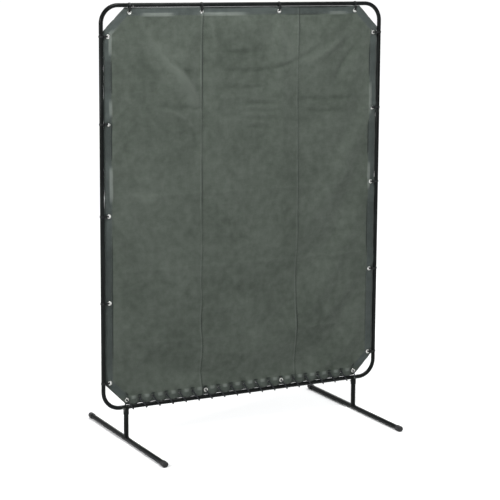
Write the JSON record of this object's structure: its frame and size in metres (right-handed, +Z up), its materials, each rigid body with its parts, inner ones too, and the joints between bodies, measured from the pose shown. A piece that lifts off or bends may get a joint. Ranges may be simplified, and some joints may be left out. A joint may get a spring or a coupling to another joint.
{
  "type": "welding curtain screen",
  "caption": "Free-standing welding screen: canvas curtain tied and laced into a round-tube frame with rounded corners, on swivelling T legs with capped feet.",
  "frame": {"origin": "on the floor under the middle of the screen", "axes": "+Z up, +X along the screen to its right seen from the front, -Y towards the front"},
  "size_m": [1.4448, 0.864, 1.9818],
  "materials": {
    "black_paint": "semi-gloss black enamel",
    "zinc_steel": "zinc plated",
    "black_rubber": "matte moulded",
    "canvas": "heavy treated duck canvas, matte",
    "nickel_plate": "dull nickel plate",
    "black_nylon": "satin",
    "dark_cord": "braided, matte"
  },
  "bodies": {
    "frame": {"top_rail": "black_paint", "bottom_rail": "black_paint", "left_side_tube": "black_paint", "right_side_tube": "black_paint", "corner_top_left": "black_paint", "corner_top_right": "black_paint", "corner_bottom_left": "black_paint", "corner_bottom_right": "black_paint", "left_leg_socket": "black_paint", "right_leg_socket": "black_paint", "left_socket_nut": "black_paint", "right_socket_nut": "black_paint", "left_clamp_screw": "zinc_steel", "right_clamp_screw": "zinc_steel", "curtain": "canvas", "grommet_top_1": "nickel_plate", "grommet_top_2": "nickel_plate", "grommet_top_3": "nickel_plate", "grommet_top_4": "nickel_plate", "grommet_bottom_1": "nickel_plate", "grommet_bottom_2": "nickel_plate", "grommet_bottom_3": "nickel_plate", "grommet_bottom_4": "nickel_plate", "grommet_left_1": "nickel_plate", "grommet_left_2": "nickel_plate", "grommet_left_3": "nickel_plate", "grommet_left_4": "nickel_plate", "grommet_left_5": "nickel_plate", "grommet_right_1": "nickel_plate", "grommet_right_2": "nickel_plate", "grommet_right_3": "nickel_plate", "grommet_right_4": "nickel_plate", "grommet_right_5": "nickel_plate", "tie_top_1": "black_nylon", "tie_top_2": "black_nylon", "tie_top_3": "black_nylon", "tie_top_4": "black_nylon", "tie_left_1": "black_nylon", "tie_left_2": "black_nylon", "tie_left_3": "black_nylon", "tie_left_4": "black_nylon", "tie_left_5": "black_nylon", "tie_right_1": "black_nylon", "tie_right_2": "black_nylon", "tie_right_3": "black_nylon", "tie_right_4": "black_nylon", "tie_right_5": "black_nylon", "lacing_cord": "dark_cord"},
    "left_leg": {"left_leg_riser": "black_paint", "left_foot_tube": "black_paint", "left_front_foot_cap": "black_rubber", "left_rear_foot_cap": "black_rubber"},
    "right_leg": {"right_leg_riser": "black_paint", "right_foot_tube": "black_paint", "right_front_foot_cap": "black_rubber", "right_rear_foot_cap": "black_rubber"}
  },
  "joints": [
    {"name": "left_leg_swivel", "type": "hinge", "parent": "frame", "child": "left_leg", "pos_m": [-0.60098, 0, 0.0125], "axis": [0, 0, 1], "range_deg": [-90, 90]},
    {"name": "right_leg_swivel", "type": "hinge", "parent": "frame", "child": "right_leg", "pos_m": [0.60098, 0, 0.0125], "axis": [0, 0, 1], "range_deg": [-90, 90]}
  ]
}
